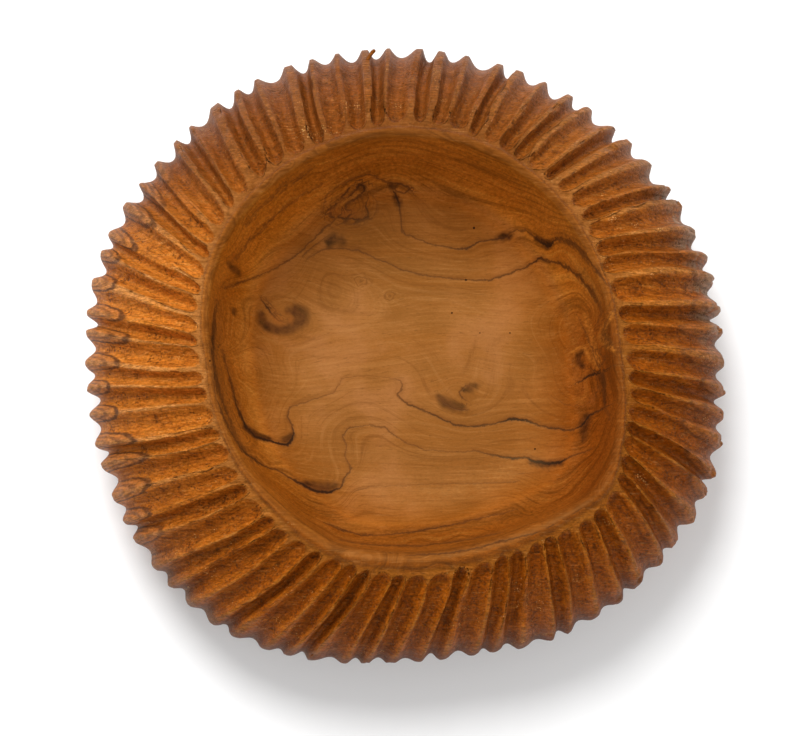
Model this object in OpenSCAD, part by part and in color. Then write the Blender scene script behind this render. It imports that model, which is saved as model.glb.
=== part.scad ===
// Dough bowl, carved by hand from one thick slab of root wood.
// A broad smooth hollow is ringed by a narrow round lip. Gouged flutes run from the lip
// down over a sloping shoulder and the steep side, and die out under the belly.
// The origin is the middle of the flat base, and +Z is up. Lengths are millimetres.

/* [Outside] */
// Width across the widest line, over the ridges between the flutes
bowl_width = 406; // [370:2:450]
// Height from the flat base to the top of the lip
bowl_height = 128; // [115:1:145]
// Height of the widest line above the base
belly_height = 56; // [46:1:66]
// Width of the flat base that the bowl rests on
base_width = 270; // [230:2:300]

/* [Flutes] */
// Number of flutes round the bowl
flute_count = 74; // [60:1:80]
// Depth of a flute below the ridges beside it
flute_depth = 8; // [4:0.5:10]
// Width of the blunt top of a ridge between two flutes
ridge_width = 2.5; // [1:0.5:4]
// Length of the rounded inner end of a flute, where the gouge went in
nose_length = 9; // [6:1:14]
// Greatest turn of a flute, in degrees, on its way out from the lip
flute_lean = 11; // [0:1:12]
// How far the handwork strays, as a share of a flute's width and depth
stray_share = 0.14; // [0:0.02:0.2]

/* [Lip and hollow] */
// Width across the inner ends of the flutes
mouth_width = 266; // [250:2:280]
// Width of the smooth lip between the flutes and the hollow
lip_width = 9; // [6:0.5:12]
// Rise of the lip above the inner ends of the flutes
lip_rise = 3; // [1:0.5:5]
// Height of the round that turns the lip down into the hollow
lip_round = 6; // [3:0.5:9]
// Depth of the hollow in its middle, below the top of the lip
hollow_depth = 98; // [85:1:105]

/* [Hidden] */

full_turn = 360;
quarter_turn = 90;

// The outline and the mouth stray from a circle as the root grew. Each list goes round the
// bowl in even steps, counterclockwise from +X, in shares of the mean radius.
outline_shares = [1.00, 1.01, 1.00, 1.00, 1.00, 1.01, 1.02, 1.01, 1.02,
                  1.00, 1.00, 1.01, 1.00, 0.95, 0.93, 0.98, 1.01, 1.03];
mouth_shares = [0.99, 0.99, 1.01, 1.03, 1.04, 1.04, 1.03, 1.01, 0.97,
                0.92, 0.93, 0.96, 1.01, 1.01, 1.03, 1.07, 1.13, 1.06];

// The lip's width and the flutes' lean change round the bowl in the same way
lip_shares = [0.8, 0.9, 0.9, 0.9, 0.8, 0.7, 1.2, 1.4, 1.0];
lean_shares = [0.0, 0.5, 0.4, 0.3, 0.1, 0.2, 0.4, 0.6, 0.5,
               0.5, 0.7, 1.0, 1.0, 0.8, 0.9, 0.7, 0.5, 0.2];

// Roundness of the shoulder, and of the wall where it turns into the floor.
// Two gives an ellipse, and more gives a squarer turn.
shoulder_out_power = 1.4;
shoulder_up_power = 1.75;
floor_out_power = 7;
floor_down_power = 3.6;

// How much narrower the hollow gets from its top to its floor, before that turn
wall_lean_share = 0.07;

// Part of a quarter turn that the under-curve makes, from the belly to the base
under_sweep = 68;

// A flute is a round trough between blunt ridges: the higher the power, the flatter its bottom
trough_power = 2.2;

// Each flute strays from its even place by its own amount, which this angle scatters
scatter_angle = 137.5;

// Where the lip's crest lies, as a share of the lip's width from the flutes
crest_share = 0.45;

// Rings of points, as shares of the way along each stretch of the surface
under_steps = [0, 0.3, 0.55, 0.8];
shoulder_steps = [1, 0.86, 0.72, 0.58, 0.44, 0.3, 0.18, 0.09, 0];
lip_steps = [0.5, 1];
round_steps = [0.33, 0.67, 1];
wall_steps = [0.1, 0.2, 0.32, 0.44, 0.56, 0.68, 0.8, 0.9];

// Columns of points: the two edges of a ridge's top, and three across the flute beside it
columns_per_flute = 5;
outer_columns = flute_count * columns_per_flute;

flute_end_height = bowl_height - lip_rise;
hollow_top = bowl_height - lip_round;
hollow_floor = bowl_height - hollow_depth;

function mix(from, to, share) = from + (to - from) * share;

// Smooth closed curve through a list of shares set evenly round the bowl
function share_at(shares, angle) =
    let (
        count = len(shares),
        place = (angle + full_turn) / full_turn * count,
        step = floor(place),
        part = place - step,
        before = shares[(step - 1) % count],
        here = shares[step % count],
        next = shares[(step + 1) % count],
        after = shares[(step + 2) % count],
        bend = 2 * before - 5 * here + 4 * next - after,
        twist = 3 * here - before - 3 * next + after
    )
    here + part * (next - before + part * (bend + part * twist)) / 2;

function outline_radius(angle) = bowl_width / 2 * share_at(outline_shares, angle);
function base_radius(angle) = base_width / 2 * share_at(outline_shares, angle);
function mouth_radius(angle) = mouth_width / 2 * share_at(mouth_shares, angle);
function lip_span(angle) = lip_width * share_at(lip_shares, angle);

// A place on the profile is [share of the way out, height, slope of the surface's normal]
function under_place(step) =
    let (angle = under_sweep * (1 - step))
    [
        (cos(angle) - cos(under_sweep)) / (1 - cos(under_sweep)),
        belly_height * (1 - sin(angle) / sin(under_sweep)),
        -angle
    ];

function shoulder_place(step) =
    let (angle = quarter_turn * step)
    [
        pow(sin(angle), 2 / shoulder_out_power),
        mix(belly_height, flute_end_height, pow(cos(angle), 2 / shoulder_up_power)),
        quarter_turn - angle
    ];

// How far a flute, known by its number, strays from its even place and its even depth
function stray(flute) = stray_share * sin(scatter_angle * ((flute + flute_count) % flute_count));
function depth_stray(flute) = 1 - stray_share * (1 + cos(scatter_angle * flute));

// Places round the bowl are counted in flutes, and a whole number is the middle of a ridge
function even_angle(number) = number / flute_count * full_turn;
function carved_angle(number) =
    let (flute = floor(number))
    even_angle(number + mix(stray(flute), stray(flute + 1), number - flute));

// Share of a flute's whole width that the blunt top of a ridge takes, at a place on the profile
function land_share(inner_width, place) =
    ridge_width * flute_count / (PI * mix(inner_width, bowl_width, place[0]));

function column_number(column, land) =
    let (flute = floor(column / columns_per_flute), part = column % columns_per_flute)
    flute + (part == 0 ? -land / 2 : mix(land / 2, 1 - land / 2, (part - 1) / (columns_per_flute - 1)));

// Share of the full depth at a place across a flute: -1 and 1 are the edges of its ridges.
// The nose goes from 0 at the flute's rounded inner end to 1 where it has its full width.
function trough(across, nose) =
    let (width = sqrt(1 - pow(1 - nose, 2)))
    width > 0 ? width * max(0, 1 - pow(abs(across) / width, trough_power)) : 0;

// A point on the fluted outside, by its number, its place on the profile, the radius
// that the place is measured from, how much of the flute is left there, and the land
function fluted_point(number, place, inner_radius, nose, land) =
    let (
        flute = floor(number),
        angle = carved_angle(number),
        lean = flute_lean * share_at(lean_shares, angle) * (1 - place[0]),
        across = (2 * (number - flute) - 1) / (1 - land),
        depth = flute_depth * depth_stray(flute) * trough(across, nose),
        radius = mix(inner_radius, outline_radius(angle), place[0]) - depth * cos(place[2]),
        turned = angle + (place[1] > belly_height ? lean : 0)
    )
    [radius * cos(turned), radius * sin(turned), place[1] - depth * sin(place[2])];

function under_ring(step) =
    let (place = under_place(step), land = land_share(base_width, place))
    [for (column = [0 : outer_columns - 1])
        let (number = column_number(column, land))
        fluted_point(number, place, base_radius(even_angle(number)), step, land)];

function shoulder_ring(step) =
    let (place = shoulder_place(step), land = land_share(mouth_width, place))
    [for (column = [0 : outer_columns - 1])
        let (
            number = column_number(column, land),
            mouth = mouth_radius(even_angle(number)),
            run = (outline_radius(even_angle(number)) - mouth) * place[0]
        )
        fluted_point(number, place, mouth, min(1, run / nose_length), land)];

// A smooth ring on the lip or in the hollow has one point for each flute.
// It keeps the lean that the flutes have at their inner ends.
function smooth_ring(height, share_in, wall_share) =
    [for (flute = [0 : flute_count - 1])
        let (
            angle = carved_angle(flute),
            turned = angle + flute_lean * share_at(lean_shares, angle),
            mouth = mouth_radius(even_angle(flute)),
            radius = (mouth - lip_span(angle) * share_in) * wall_share
        )
        [radius * cos(turned), radius * sin(turned), height]];

// The outer part of the lip, from the flutes up to the crest
function lip_ring(step) =
    smooth_ring(mix(flute_end_height, bowl_height, sin(quarter_turn * step)), crest_share * step, 1);

// The inner part of the lip, from the crest down to the wall
function round_ring(step) =
    let (angle = quarter_turn * step)
    smooth_ring(mix(hollow_top, bowl_height, cos(angle)), mix(crest_share, 1, sin(angle)), 1);

// The wall of the hollow, down to its floor
function wall_ring(step) =
    let (angle = quarter_turn * step, way_down = pow(sin(angle), 2 / floor_down_power))
    smooth_ring(
        mix(hollow_top, hollow_floor, way_down),
        1,
        (1 - wall_lean_share * way_down) * pow(cos(angle), 2 / floor_out_power)
    );

// Triangles between two rings. The first ring has ratio points for each point of the second.
function band(first, first_count, second, second_count) =
    let (ratio = first_count / second_count, middle = floor(ratio / 2))
    [for (column = [0 : second_count - 1])
        let (left = second + column, right = second + (column + 1) % second_count)
        each concat(
            [for (part = [0 : ratio - 1])
                [
                    first + (column * ratio + part + 1) % first_count,
                    first + column * ratio + part,
                    part < middle ? left : right
                ]],
            [[first + column * ratio + middle, left, right]]
        )];

// Triangles from a ring to the point in its middle
function cap(centre, ring, count, facing_up) =
    [for (column = [0 : count - 1])
        let (here = ring + column, next = ring + (column + 1) % count)
        facing_up ? [centre, next, here] : [centre, here, next]];

module bowl() {
    outer_rings = concat(
        [for (step = under_steps) under_ring(step)],
        [for (step = shoulder_steps) shoulder_ring(step)]
    );
    inner_rings = concat(
        [for (step = lip_steps) lip_ring(step)],
        [for (step = round_steps) round_ring(step)],
        [for (step = wall_steps) wall_ring(step)]
    );
    outer_points = len(outer_rings) * outer_columns;
    all_points = outer_points + len(inner_rings) * flute_count;
    last_outer = outer_points - outer_columns;
    last_inner = all_points - flute_count;

    color("#b06a30")
    polyhedron(
        points = concat(
            [for (ring = outer_rings) each ring],
            [for (ring = inner_rings) each ring],
            [[0, 0, 0], [0, 0, hollow_floor]]
        ),
        faces = concat(
            cap(all_points, 0, outer_columns, false),
            [for (start = [0 : outer_columns : last_outer - 1])
                each band(start, outer_columns, start + outer_columns, outer_columns)],
            band(last_outer, outer_columns, outer_points, flute_count),
            [for (start = [outer_points : flute_count : last_inner - 1])
                each band(start, flute_count, start + flute_count, flute_count)],
            cap(all_points + 1, last_inner, flute_count, true)
        )
    );
}

bowl();
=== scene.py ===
"""Looks of a hand-carved dough bowl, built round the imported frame.

The bowl is one piece of root wood. Its mesh follows the same curves as the construction,
with the marks of the gouge, worn ridges and uneven handwork added. The wood's layers and
fibres are worked out for each point of the surface, so that growth lines run unbroken
from the floor of the hollow over the lip and across the flutes. Lengths are metres, and
values that end in _MM are millimetres.
"""

import itertools
import math

import bpy
import numpy as np
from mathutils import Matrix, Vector
from mathutils.bvhtree import BVHTree


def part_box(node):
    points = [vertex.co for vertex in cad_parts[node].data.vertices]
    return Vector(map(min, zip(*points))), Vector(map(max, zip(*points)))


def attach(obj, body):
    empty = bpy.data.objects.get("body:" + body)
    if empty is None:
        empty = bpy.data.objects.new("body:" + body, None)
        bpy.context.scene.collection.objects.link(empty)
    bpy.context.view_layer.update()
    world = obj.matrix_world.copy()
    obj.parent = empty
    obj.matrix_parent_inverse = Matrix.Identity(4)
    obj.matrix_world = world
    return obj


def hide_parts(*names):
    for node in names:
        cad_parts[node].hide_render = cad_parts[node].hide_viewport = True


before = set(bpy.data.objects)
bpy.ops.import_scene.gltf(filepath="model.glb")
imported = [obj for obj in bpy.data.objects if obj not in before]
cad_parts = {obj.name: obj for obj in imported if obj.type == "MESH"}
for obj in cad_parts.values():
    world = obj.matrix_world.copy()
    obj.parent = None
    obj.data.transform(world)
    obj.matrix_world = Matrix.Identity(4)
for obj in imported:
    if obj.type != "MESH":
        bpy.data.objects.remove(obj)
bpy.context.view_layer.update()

MM = 0.001
FULL_TURN = 2.0 * math.pi
QUARTER_TURN = math.pi / 2.0
low_corner, high_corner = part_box("bowl")

# Size of the bowl, as in the construction
BOWL_HEIGHT_MM = (high_corner.z - low_corner.z) / MM
OUTLINE_RADIUS_MM = 203.0
BELLY_HEIGHT_MM = 56.0
BASE_RADIUS_MM = 135.0
FLUTE_COUNT = 74
FLUTE_DEPTH_MM = 8.0
NOSE_LENGTH_MM = 9.0
FLUTE_LEAN = math.radians(11.0)
STRAY_SHARE = 0.14
MOUTH_RADIUS_MM = 133.0
LIP_WIDTH_MM = 9.0
LIP_RISE_MM = 3.0
LIP_ROUND_MM = 6.0
HOLLOW_DEPTH_MM = 98.0

# Shares of the mean radius, in even steps counterclockwise from +X
OUTLINE_SHARES = [1.00, 1.01, 1.00, 1.00, 1.00, 1.01, 1.02, 1.01, 1.02,
                  1.00, 1.00, 1.01, 1.00, 0.95, 0.93, 0.98, 1.01, 1.03]
MOUTH_SHARES = [0.99, 0.99, 1.01, 1.03, 1.04, 1.04, 1.03, 1.01, 0.97,
                0.92, 0.93, 0.96, 1.01, 1.01, 1.03, 1.07, 1.13, 1.06]
LIP_SHARES = [0.8, 0.9, 0.9, 0.9, 0.8, 0.7, 1.2, 1.4, 1.0]
LEAN_SHARES = [0.0, 0.5, 0.4, 0.3, 0.1, 0.2, 0.4, 0.6, 0.5,
               0.5, 0.7, 1.0, 1.0, 0.8, 0.9, 0.7, 0.5, 0.2]

# Roundness of the shoulder and of the wall's turn into the floor, and the other curves
SHOULDER_OUT_POWER = 1.4
SHOULDER_UP_POWER = 1.75
FLOOR_OUT_POWER = 7.0
FLOOR_DOWN_POWER = 3.6
WALL_LEAN_SHARE = 0.07
UNDER_SWEEP = math.radians(68.0)
TROUGH_POWER = 2.1
SCATTER_ANGLE = math.radians(137.5)
CREST_SHARE = 0.45

# Handwork on the flutes: ridges of uneven width and bluntness that wander and lean over, some
# of them worn low, and flutes that start late and are deeper half way out
RIDGE_WIDTHS_MM = (1.2, 3.4)
BACK_RIDGE_SHARE = 1.6
FRONT_RIDGE_SHARE = 0.6
BLUNTNESS = (0.08, 0.24)
WANDER_SHARE = 0.06
SKEW_SHARE = 0.1
LOW_RIDGE_SHARE = 0.42
NOSE_DELAY_MM = 3.0
DEEPER_SHARE = 0.15

# At the rim the ridges are broad and round, with notches between them
LOBE_POWER = 1.25

# Depths of the marks of the handwork
CHATTER_MM = 0.22
WAVES_MM = 0.5
ROUGH_MM = 0.25
CHIPS_MM = 1.2
NICKS_MM = 1.8
BROKEN_TIPS_MM = 5.0
UNEVEN_HOLLOW_MM = 0.5
LIP_WAVES_MM = 1.4

# The round rings of end grain on the outer end of a ridge: half their width and their length,
# and the mark of the places that lie beyond them all
TIP_RADII_MM = (5.4, 25.0)
NO_TIP = 9.0

FLUTE_END_MM = BOWL_HEIGHT_MM - LIP_RISE_MM
HOLLOW_TOP_MM = BOWL_HEIGHT_MM - LIP_ROUND_MM
HOLLOW_FLOOR_MM = BOWL_HEIGHT_MM - HOLLOW_DEPTH_MM

# Rough length of each stretch of the surface, along the way from the base to the floor
UNDER_RUN_MM = 70.0
SHOULDER_RUN_MM = 100.0
LIP_RUN_MM = 4.0
ROUND_RUN_MM = 6.0

# Density of the mesh. The floor's rows and the centre's begin at shares of the mouth's radius.
COLUMN_CROWDING = 0.06
OUTER_COLUMNS = FLUTE_COUNT * 16
WALL_COLUMNS = FLUTE_COUNT * 8
FLOOR_COLUMNS = FLUTE_COUNT * 4
CENTRE_COLUMNS = FLUTE_COUNT
UNDER_ROWS = 13
SHOULDER_ROWS = 40
LIP_ROWS = 3
ROUND_ROWS = 5
WALL_ROWS = 34
FLOOR_ROWS = 25
CENTRE_ROWS = 4
FLOOR_SHARE = 0.62
CENTRE_SHARE = 0.12

# The camera looks down almost from above, as the photograph does
PHOTO_WIDTH_PX = 800
PHOTO_HEIGHT_PX = 736
CAMERA_DISTANCE_MM = 1400.0
CAMERA_ELEVATION = math.radians(83.0)
CAMERA_AIM_MM = np.array([-3.1, -3.4, 56.0])
MM_PER_PX = 0.634
SENSOR_MM = 36.0

# Lamps: place and width in metres, and power in watts
LAMPS = {"key": ((-0.3, 0.8, 1.45), 0.85, 28.5), "fill": ((0.4, -0.7, 1.3), 1.2, 5.0)}
LAMP_AIM = (0.0, 0.0, 0.05)
WORLD_STRENGTH = 0.555
FLOOR_TONE = 0.94
FLOOR_REACH = 3.0

# Noise: odd numbers that scatter its cells, how many values it knows and where it starts
AXIS_FACTORS = np.array([73856093, 19349663, 83492791], np.uint64)
SEED_FACTOR = 2654435761
MIX_FACTOR = 1274126177
NOISE_STEPS = 65536
NOISE_START = 97.0


def mix(start, end, share):
    return start + (end - start) * share


def smooth(value, low, high):
    """0 below low, 1 above high and a smooth rise between them."""
    share = np.clip((value - low) / (high - low), 0.0, 1.0)
    return share * share * (3.0 - 2.0 * share)


def around(shares, turn):
    """Smooth closed curve through shares set evenly round the bowl."""
    table = np.asarray(shares)
    place = np.mod(turn / FULL_TURN, 1.0) * len(table)
    step = np.floor(place).astype(int)
    part = place - step
    before, here, after, later = (table[(step + k) % len(table)] for k in (-1, 0, 1, 2))
    bend = 2.0 * before - 5.0 * here + 4.0 * after - later
    twist = 3.0 * here - before - 3.0 * after + later
    return here + part * (after - before + part * (bend + part * twist)) / 2.0


def corner_values(corners, seed):
    """A scattered value from -1 to 1 for each corner of the noise's cells."""
    key = np.bitwise_xor.reduce(corners.astype(np.uint64) * AXIS_FACTORS, axis=1)
    key = key + np.uint64(seed * SEED_FACTOR)
    key = (key ^ key >> np.uint64(13)) * np.uint64(MIX_FACTOR)
    value = (key ^ key >> np.uint64(16)) % np.uint64(NOISE_STEPS)
    return value.astype(float) * 2.0 / (NOISE_STEPS - 1) - 1.0


def noise(points, size, seed):
    """Smooth random values from -1 to 1 at points, with bumps about one size across."""
    place = np.asarray(points, float) / size + NOISE_START
    cell = np.floor(place).astype(np.int64)
    part = place - cell
    part = part * part * part * (part * (part * 6.0 - 15.0) + 10.0)
    total = np.zeros(len(place))
    for corner in itertools.product((0, 1), repeat=3):
        weight = np.prod(np.where(np.array(corner) == 1, part, 1.0 - part), axis=1)
        total += weight * corner_values(cell + corner, seed)
    return total


# The shape of the bowl

def base_radius(turn):
    return BASE_RADIUS_MM * around(OUTLINE_SHARES, turn)


def outline_radius(turn):
    return OUTLINE_RADIUS_MM * around(OUTLINE_SHARES, turn)


def mouth_radius(turn):
    return MOUTH_RADIUS_MM * around(MOUTH_SHARES, turn)


def stray(flute):
    return STRAY_SHARE * np.sin(SCATTER_ANGLE * np.mod(flute, FLUTE_COUNT))


def depth_stray(flute):
    return 1.0 - STRAY_SHARE * (1.0 + np.cos(SCATTER_ANGLE * np.mod(flute, FLUTE_COUNT)))


def scatter(number, key):
    """A value from -1 to 1 for each flute or ridge, other values for another key."""
    return np.sin(SCATTER_ANGLE * key * np.mod(number, FLUTE_COUNT) + key)


def flute_of(number):
    """The whole number of a flute, safe against rounding at its first ridge."""
    return np.floor(number + 1e-6)


def column_turns(columns):
    """For each column: its number in flutes, its even angle and its angle as carved.
    Columns lie closer together at the ridges."""
    number = np.arange(columns) / columns * FLUTE_COUNT
    number = number - COLUMN_CROWDING * np.sin(FULL_TURN * number)
    flute = flute_of(number)
    carved = number + mix(stray(flute), stray(flute + 1), number - flute)
    step = FULL_TURN / FLUTE_COUNT
    return number, number * step, carved * step


def under_place(step):
    """A place on the profile: how far out it is, its height and its surface's slope."""
    angle = UNDER_SWEEP * (1.0 - step)
    end = math.cos(UNDER_SWEEP)
    return (
        (math.cos(angle) - end) / (1.0 - end),
        BELLY_HEIGHT_MM * (1.0 - math.sin(angle) / math.sin(UNDER_SWEEP)),
        -angle,
    )


def shoulder_place(step):
    angle = QUARTER_TURN * step
    return (
        math.sin(angle) ** (2.0 / SHOULDER_OUT_POWER),
        mix(BELLY_HEIGHT_MM, FLUTE_END_MM, math.cos(angle) ** (2.0 / SHOULDER_UP_POWER)),
        QUARTER_TURN - angle,
    )


def trough(across, nose, land, blunt, lobed):
    """Share of a flute's depth at a place across it, beside ridges with a rounded land.
    Where it is lobed, the ridges are broad and round and the flutes are notches between them."""
    width = np.sqrt(np.clip(1.0 - (1.0 - nose) ** 2, 0.0, 1.0))
    share = np.abs(across) / np.maximum(width * (1.0 - land), 1e-6)
    depth = np.clip(1.0 - share ** TROUGH_POWER, 0.0, None)
    rounded = (np.sqrt(depth ** 2 + blunt ** 2) - blunt) / (np.sqrt(1.0 + blunt ** 2) - blunt)
    notch = (0.5 + 0.5 * np.cos(math.pi * np.clip(np.abs(across), 0.0, 1.0))) ** LOBE_POWER
    return width ** 0.8 * mix(rounded, notch, lobed)


class Rings:
    """Collects the rings of points from the base to the floor's middle."""

    def __init__(self):
        self.points = []
        self.counts = []
        self.marks = {name: [] for name in ("valley", "along", "hollow", "number", "tip")}

    def add(self, points, valley, along, hollow, number, tip):
        self.points.append(points)
        self.counts.append(len(points))
        for name, value in zip(self.marks, (valley, along, hollow, number, tip)):
            self.marks[name].append(np.broadcast_to(np.asarray(value, float), len(points)))


def ridge_land(ridge, even, reach, ridge_radius):
    """Share of a flute's width that the worn top of the ridge beside it takes. Ridges are
    broadest behind the lip and narrowest at the front."""
    land_mm = mix(RIDGE_WIDTHS_MM[0], RIDGE_WIDTHS_MM[1], 0.5 + 0.5 * scatter(ridge, 1.7))
    back = smooth(np.sin(even), 0.2, 0.9) * (1.0 - 0.5 * reach)
    front = smooth(-np.sin(even), -0.3, 0.5)
    land_mm = land_mm * mix(1.0, BACK_RIDGE_SHARE, back) * mix(1.0, FRONT_RIDGE_SHARE, front)
    return land_mm * FLUTE_COUNT / (FULL_TURN * ridge_radius)


def carved_valley(number, even, reach, nose, land, front_rim):
    """How deep the carving is at each point of a ring, from 0 on a ridge to 1 in a flute."""
    flute = flute_of(number)
    ridge = np.round(number)
    across = 2.0 * (number - flute) - 1.0
    skew = SKEW_SHARE * (1.0 + 1.5 * scatter(flute, 2.3))
    blunt = mix(BLUNTNESS[0], BLUNTNESS[1], reach ** 2) + 0.2 * front_rim
    lobed = smooth(reach, 0.68, 0.95) * (1.0 - smooth(np.sin(even), 0.25, 0.65))
    lobed = lobed * (0.8 + 0.2 * scatter(ridge, 3.1))
    valley = trough(across - skew * (1.0 - across ** 2), nose, land, blunt, lobed)
    half_way = smooth(reach, 0.2, 0.45) * (1.0 - smooth(reach, 0.6, 0.85))
    worn_low = smooth(scatter(ridge, 4.3), 0.75, 1.0) * half_way
    return valley + (1.0 - valley) * LOW_RIDGE_SHARE * worn_low


def add_fluted_ring(rings, place, inner_radius, run_mm, lean_on, along):
    """A ring over the flutes and ridges. The run is how far it lies from the flutes' ends,
    and the lean is on above the belly and off below it."""
    number, even, carved = column_turns(OUTER_COLUMNS)
    flute = flute_of(number)
    ridge = np.round(number)
    reach, height, slope = place

    ends = np.mod(np.stack([flute, flute + 1.0]), FLUTE_COUNT)
    drift = WANDER_SHARE * np.sin(1.7 * ends + 5.0 * reach)
    drift = mix(drift[0], drift[1], number - flute) * smooth(reach, 0.0, 0.25) * lean_on
    carved = carved + drift * FULL_TURN / FLUTE_COUNT
    outline = outline_radius(carved)
    ridge_radius = mix(inner_radius(even), outline, reach)

    delay = NOSE_DELAY_MM * (0.5 + 0.5 * scatter(flute, 2.9)) * lean_on
    nose_mm = NOSE_LENGTH_MM - NOSE_DELAY_MM * lean_on
    nose = np.clip((run_mm - delay) / nose_mm, 0.0, 1.0)
    land = ridge_land(ridge, even, reach, ridge_radius)
    front_rim = smooth(reach, 0.6, 1.0) * smooth(-np.sin(even), 0.3, 0.9)
    valley = carved_valley(number, even, reach, nose, land, front_rim)
    deeper = DEEPER_SHARE * (1.0 - smooth(reach, 0.7, 1.0)) * smooth(reach, 0.0, 0.3) * lean_on
    depth = FLUTE_DEPTH_MM * depth_stray(flute) * valley * (1.0 + deeper) * (1.0 - 0.4 * front_rim)

    off_ridge_mm = (number - ridge) * FULL_TURN * ridge_radius / FLUTE_COUNT
    from_edge_mm = mix(60.0, outline - ridge_radius, lean_on)
    tip_length_mm = TIP_RADII_MM[1] * (1.0 + 0.3 * scatter(ridge, 2.1))
    tip = np.hypot(off_ridge_mm / TIP_RADII_MM[0], from_edge_mm / tip_length_mm)
    radius = ridge_radius - depth * math.cos(slope)
    turned = carved + FLUTE_LEAN * around(LEAN_SHARES, carved) * (1.0 - reach) * lean_on
    points = np.stack([
        radius * np.cos(turned),
        radius * np.sin(turned),
        height - depth * math.sin(slope),
    ], axis=1)
    rings.add(points, valley, along, 0.0, number, tip)


def smooth_ring(columns, height, share_in, wall_share):
    number, even, carved = column_turns(columns)
    turned = carved + FLUTE_LEAN * around(LEAN_SHARES, carved)
    span = LIP_WIDTH_MM * around(LIP_SHARES, carved)
    radius = (mouth_radius(even) - span * share_in) * wall_share
    level = np.full(columns, height)
    return np.stack([radius * np.cos(turned), radius * np.sin(turned), level], axis=1), number


def wall_places():
    """Places down the wall and over the floor, evenly spaced along the curve."""
    angle = np.linspace(0.0, QUARTER_TURN, 4000)
    down = np.sin(angle) ** (2.0 / FLOOR_DOWN_POWER)
    inward = (1.0 - WALL_LEAN_SHARE * down) * np.cos(angle) ** (2.0 / FLOOR_OUT_POWER)
    length = np.concatenate([[0.0], np.cumsum(np.hypot(
        np.diff(down) * HOLLOW_DEPTH_MM, np.diff(inward) * MOUTH_RADIUS_MM))])
    wall_end = np.interp(-FLOOR_SHARE, -inward, length)
    floor_end = np.interp(-CENTRE_SHARE, -inward, length)
    stops = np.concatenate([
        np.linspace(0.0, wall_end, WALL_ROWS + 1)[1:],
        np.linspace(wall_end, floor_end, FLOOR_ROWS + 1)[1:],
        np.linspace(floor_end, length[-1], CENTRE_ROWS + 1)[1:-1],
    ])
    return [(np.interp(stop, length, down), np.interp(stop, length, inward), stop) for stop in stops]


def bowl_rings():
    rings = Rings()
    for step in np.linspace(0.0, 1.0, UNDER_ROWS + 1)[:-1]:
        run_mm = np.full(OUTER_COLUMNS, NOSE_LENGTH_MM * step)
        along = -UNDER_RUN_MM * (1.0 - step)
        add_fluted_ring(rings, under_place(step), base_radius, run_mm, 0.0, along)
    even = column_turns(OUTER_COLUMNS)[1]
    span = outline_radius(even) - mouth_radius(even)
    for step in np.linspace(1.0, 0.0, SHOULDER_ROWS + 1):
        place = shoulder_place(step)
        along = SHOULDER_RUN_MM * (1.0 - step)
        add_fluted_ring(rings, place, mouth_radius, span * place[0], 1.0, along)
    along = SHOULDER_RUN_MM
    for step in np.linspace(0.0, 1.0, LIP_ROWS + 1)[1:]:
        height = mix(FLUTE_END_MM, BOWL_HEIGHT_MM, math.sin(QUARTER_TURN * step))
        points, number = smooth_ring(WALL_COLUMNS, height, CREST_SHARE * step, 1.0)
        rings.add(points, 0.0, along + LIP_RUN_MM * step, 0.3 * step, number, NO_TIP)
    along = along + LIP_RUN_MM
    for step in np.linspace(0.0, 1.0, ROUND_ROWS + 1)[1:]:
        angle = QUARTER_TURN * step
        height = mix(HOLLOW_TOP_MM, BOWL_HEIGHT_MM, math.cos(angle))
        share_in = mix(CREST_SHARE, 1.0, math.sin(angle))
        points, number = smooth_ring(WALL_COLUMNS, height, share_in, 1.0)
        rings.add(points, 0.0, along + ROUND_RUN_MM * step, mix(0.3, 1.0, step), number, NO_TIP)
    along = along + ROUND_RUN_MM
    for row, (down, inward, length) in enumerate(wall_places()):
        columns = WALL_COLUMNS if row < WALL_ROWS else FLOOR_COLUMNS
        columns = CENTRE_COLUMNS if row >= WALL_ROWS + FLOOR_ROWS else columns
        height = mix(HOLLOW_TOP_MM, HOLLOW_FLOOR_MM, down)
        points, number = smooth_ring(columns, height, 1.0, inward)
        rings.add(points, 0.0, along + length, 1.0, number, NO_TIP)
    return rings


def band(first, first_count, second, second_count):
    """Triangles between two rings. The first has a whole number of points for each point
    of the second."""
    ratio = first_count // second_count
    middle = ratio // 2
    column = np.arange(second_count)
    left = second + column
    right = second + (column + 1) % second_count
    faces = [np.stack([first + column * ratio + middle, right, left], axis=1)]
    for part in range(ratio):
        here = first + column * ratio + part
        ahead = first + (column * ratio + part + 1) % first_count
        faces.append(np.stack([here, ahead, left if part < middle else right], axis=1))
    return np.concatenate(faces)


def cap(centre, ring, count, facing_up):
    here = ring + np.arange(count)
    ahead = ring + (np.arange(count) + 1) % count
    middle = np.full(count, centre)
    return np.stack([middle, here, ahead] if facing_up else [middle, ahead, here], axis=1)


def bowl_faces(counts, base_centre, floor_centre):
    starts = np.concatenate([[0], np.cumsum(counts)[:-1]])
    faces = [cap(base_centre, 0, counts[0], False)]
    for ring in range(len(counts) - 1):
        faces.append(band(starts[ring], counts[ring], starts[ring + 1], counts[ring + 1]))
    faces.append(cap(floor_centre, starts[-1], counts[-1], True))
    return np.concatenate(faces)


# Camera

def camera_place_mm():
    back = np.array([0.0, -math.cos(CAMERA_ELEVATION), math.sin(CAMERA_ELEVATION)])
    return CAMERA_AIM_MM + CAMERA_DISTANCE_MM * back


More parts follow.
